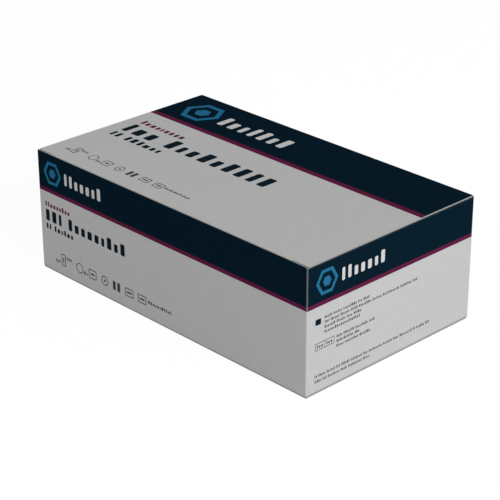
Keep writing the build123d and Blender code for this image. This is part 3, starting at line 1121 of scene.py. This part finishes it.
foil, tree, shader, place = new_material("aluminium foil laminate, heat sealed")
film = add_node(tree, "ShaderNodeAttribute", attribute_name="film_place").outputs["Vector"]
axes = add_node(tree, "ShaderNodeSeparateXYZ", {0: film}).outputs
known = {"across": axes[0], "up": axes[1]}
for axis, size in (("across", pouch_size.y), ("up", pouch_size.z)):
    add_steps(tree, known, ((axis, "ABSOLUTE", axis), (axis, "SUBTRACT", size / 2, axis)))
add_steps(tree, known, (
    ("inset", "MINIMUM", "across", "up"),
    ("border", "LESS_THAN", "inset", WELD_WIDTH),
    ("ribs", "MULTIPLY", "inset", 2 * math.pi / (RIB_MM * MM)),
    ("ribs", "SINE", "ribs"),
    ("ribs", "MULTIPLY", "ribs", "border"),
))
creases = add_node(tree, NOISE, {"Vector": place, "Scale": per_metre(CREASE_MM), **CREASE_NOISE})
tint = add_node(tree, MIX, {0: creases, 6: linear("#BDC0C4"), 7: linear("#DCDEE0")}, data_type="RGBA")
pressed = add_node(tree, BUMP, {"Height": known["ribs"], **RIB_BUMP})
creased = add_node(tree, BUMP, {"Height": creases, **CREASE_BUMP, "Normal": pressed})
fill_inputs(tree, shader, {
    "Base Color": tint.outputs[2], "Metallic": 1.0, "Roughness": FILM_ROUGHNESS, "Normal": creased})
print("foil nodes", len(tree.nodes))

# %% Make the pouches
CASSETTE_LENGTH = 70.0 * MM
CASSETTE_WIDTH = 20.0 * MM
FILM = 0.4 * MM
CRUMPLE = 1.6 * MM
CURL = 1.8 * MM
POUCH_GRID = 1.5 * MM
NOTCH_DEPTH = 1.8 * MM
NOTCH_ROW = 7
FIRST_SEED = 100


def make_pouch(node, number):
    """One pouch in the place of its CAD solid, with its own creases and its own curl of the top weld."""
    low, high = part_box(node)
    size = high - low
    rows = round(size.z / POUCH_GRID)
    pitch = size.z / (rows - 1)
    pouch = new_object(node + "_foil", bpy.data.meshes.new(node + "_foil"))
    modifier = pouch.modifiers.new("pouch", "NODES")
    modifier.node_group = pouch_tree
    curl = random.Random(FIRST_SEED + number).uniform(-CURL, CURL)
    values = {
        "Width": size.y, "Height": size.z, "Thickness": size.x, "Weld Width": WELD_WIDTH,
        "Crest Width": CASSETTE_LENGTH, "Crest Height": CASSETTE_WIDTH, "Film": FILM, "Crumple": CRUMPLE,
        "Curl": curl, "Notch Depth": NOTCH_DEPTH, "Notch Drop": NOTCH_ROW * pitch, "Notch Height": pitch,
        "Seed": float(number), "Columns": round(size.y / POUCH_GRID), "Rows": rows,
        "Centre": (low + high) / 2, "Material": foil}
    for item in pouch_tree.interface.items_tree:
        if item.in_out == "INPUT":
            modifier[item.identifier] = values[item.name]
    apply_modifiers(pouch)
    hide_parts(node)
    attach(pouch, "carton")
    return pouch


pouches = [make_pouch(node, number) for number, node in enumerate(pouch_names)]
print("pouches", len(pouches), "faces each", len(pouches[0].data.polygons))

# %% [markdown]
# ## The leaflet
#
# The instructions are one long thin sheet, folded to five layers and then once in half.
# It stands with its last fold up, so from above it shows a round fold and from the side the edges
# of its layers. Each pair of layers is a long U, and the U shapes nest in each other.
# Thin uncoated paper is matte and white, and shows a faint cloud of fibres.

# %% One pair of layers
PAPER = 0.13
FOLD_POINTS = 8


def add_layer_pair(mesh, outer_radius, share, low, high):
    """One U of folded paper: two layers joined by a round fold at the top. Low and high are box corners."""
    middle_x, centre_z, radius = (low.x + high.x) / 2, high.z - outer_radius, outer_radius * share
    section = []
    for reach, order in ((radius, 1), (radius - PAPER, -1)):
        turns = [math.pi * step / FOLD_POINTS for step in range(FOLD_POINTS + 1)]
        arc = [(middle_x + reach * math.cos(turn), centre_z + reach * math.sin(turn)) for turn in turns]
        section += ([(middle_x + reach, low.z)] + arc + [(middle_x - reach, low.z)])[::order]
    front, back = [[mesh.verts.new(Vector((x, y, z)) * MM) for x, z in section] for y in (low.y, high.y)]
    last = len(section) - 1
    for i in range(last + 1):
        j = (i + 1) % (last + 1)
        mesh.faces.new((front[i], back[i], back[j], front[j]))
    for i in range(last // 2):
        mesh.faces.new((front[i], front[i + 1], front[last - 1 - i], front[last - i]))
        mesh.faces.new((back[i], back[last - i], back[last - 1 - i], back[i + 1]))


print("a layer is", PAPER, "mm thick")

# %% Leaflet
LAYER_PAIRS = 5
leaflet_low, leaflet_high = [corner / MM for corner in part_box("leaflet")]
leaflet_radius = (leaflet_high.x - leaflet_low.x) / 2
leaflet_mesh = bmesh.new()
for pair in range(LAYER_PAIRS):
    add_layer_pair(leaflet_mesh, leaflet_radius, 1 - pair / LAYER_PAIRS, leaflet_low, leaflet_high)
bmesh.ops.recalc_face_normals(leaflet_mesh, faces=leaflet_mesh.faces)
leaflet_data = bpy.data.meshes.new("leaflet_sheets")
leaflet_mesh.to_mesh(leaflet_data)
leaflet_mesh.free()
leaflet_data.materials.append(bare_pulp("offset paper, uncoated", "#E2E2DE", fibre_mm=0.8, strength=0.2))
leaflet = new_object("leaflet_sheets", leaflet_data)
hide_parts("leaflet")
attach(leaflet, "carton")
print("leaflet faces", len(leaflet_data.polygons))

# %% [markdown]
# ## Floor and light
#
# The carton stands on a plain white floor in soft studio light. The right end is the brightest face,
# then the top, then the front, so one broad soft lamp stands to the right and the sky fills the rest.
# The floor and the sky look white to the camera and to reflections, but light the carton less than that.

# %% White for the camera
FLOOR_SHARE = 0.8
FLOOR_GLOW = 1.14


def seen_directly(tree):
    """1 for camera, glossy and transmission rays, and 0 for the rays that light the object."""
    known = {output.name: output for output in add_node(tree, "ShaderNodeLightPath").outputs}
    add_steps(tree, known, (("shown", "MAXIMUM", "Is Camera Ray", "Is Glossy Ray"),
                            ("shown", "MAXIMUM", "shown", "Is Transmission Ray")))
    return known["shown"]


def white_floor():
    """A matte white floor that the camera sees as nearly pure white, with the object's soft shadow on it."""
    material = bpy.data.materials.new("white studio floor")
    tree = empty_tree(material)
    matte = add_node(tree, "ShaderNodeBsdfDiffuse", {"Color": linear("#E8E8E8")})
    glow = add_node(tree, "ShaderNodeEmission", {"Color": linear("#FFFFFF"), "Strength": FLOOR_GLOW})
    share = add_node(tree, MATH, {0: seen_directly(tree), 1: FLOOR_SHARE}, operation="MULTIPLY")
    mixed = add_node(tree, "ShaderNodeMixShader", {0: share, 1: matte, 2: glow})
    add_node(tree, "ShaderNodeOutputMaterial", {"Surface": mixed})
    return material


floor_material = white_floor()
print("floor nodes", len(floor_material.node_tree.nodes))

# %% Floor
FLOOR_HALF = 3.0
corners = [(x * FLOOR_HALF, y * FLOOR_HALF, 0) for x, y in ((-1, -1), (1, -1), (1, 1), (-1, 1))]
floor_data = bpy.data.meshes.new("studio_floor")
floor_data.from_pydata(corners, [], [(0, 1, 2, 3)])
floor_data.materials.append(floor_material)
floor = new_object("studio_floor", floor_data)
print("floor", 2 * FLOOR_HALF, "m square")

# %% Sky
SKY_STRENGTH = 0.41
world = bpy.data.worlds.new("soft studio")
bpy.context.scene.world = world
tree = empty_tree(world)
fill, white = [add_node(tree, "ShaderNodeBackground", {"Color": linear("#FFFFFF"), "Strength": strength})
               for strength in (SKY_STRENGTH, 1.0)]
sky = add_node(tree, "ShaderNodeMixShader", {0: seen_directly(tree), 1: fill, 2: white})
add_node(tree, "ShaderNodeOutputWorld", {"Surface": sky})
print("sky strength", SKY_STRENGTH)

# %% Lamp
KEY_DIRECTION = Vector((0.90, -0.12, 0.40)).normalized()
KEY_DISTANCE = 1.6
KEY_SIZE = 0.9
KEY_POWER = 10.4
key_data = bpy.data.lights.new("broad soft lamp", "AREA")
key_data.shape = "SQUARE"
key_data.size = KEY_SIZE
key_data.energy = KEY_POWER
key = new_object("broad soft lamp", key_data)
key.location = Vector((0, 0, HEIGHT * MM / 2)) + KEY_DIRECTION * KEY_DISTANCE
key.rotation_euler = KEY_DIRECTION.to_track_quat("Z", "Y").to_euler()
print("lamp at", [round(c, 2) for c in key.location])

# %% [markdown]
# ## Camera
#
# The photograph was taken with a long lens from the front right, a little above.
# Its angles were fitted to the carton's seven visible corners. The camera looks along
# its back axis, is rolled a fraction of a degree, and is moved off the middle line to frame the carton.

# %% Camera
AZIMUTH = math.radians(46.191)
ELEVATION = math.radians(25.459)
ROLL = math.radians(-0.184)
DISTANCE = 830.5 * MM
SHIFT_RIGHT = 0.36 * MM
SHIFT_UP = 19.54 * MM
LENS_MM = 125.63
SENSOR_MM = 36.0

level = math.cos(ELEVATION)
back = Vector((math.sin(AZIMUTH) * level, -math.cos(AZIMUTH) * level, math.sin(ELEVATION)))
right = Vector((math.cos(AZIMUTH), math.sin(AZIMUTH), 0))
above = back.cross(right)
rolled_right = right * math.cos(ROLL) + above * math.sin(ROLL)
rolled_up = above * math.cos(ROLL) - right * math.sin(ROLL)
camera_data = bpy.data.cameras.new("camera")
camera_data.lens = LENS_MM
camera_data.sensor_width = SENSOR_MM
camera = new_object("camera", camera_data)
camera.location = back * DISTANCE + rolled_right * SHIFT_RIGHT + rolled_up * SHIFT_UP
camera.rotation_euler = Matrix((rolled_right, rolled_up, back)).transposed().to_euler()
bpy.context.scene.camera = camera
bpy.context.scene.view_settings.view_transform = "Standard"
print("camera at", [round(c, 3) for c in camera.location])
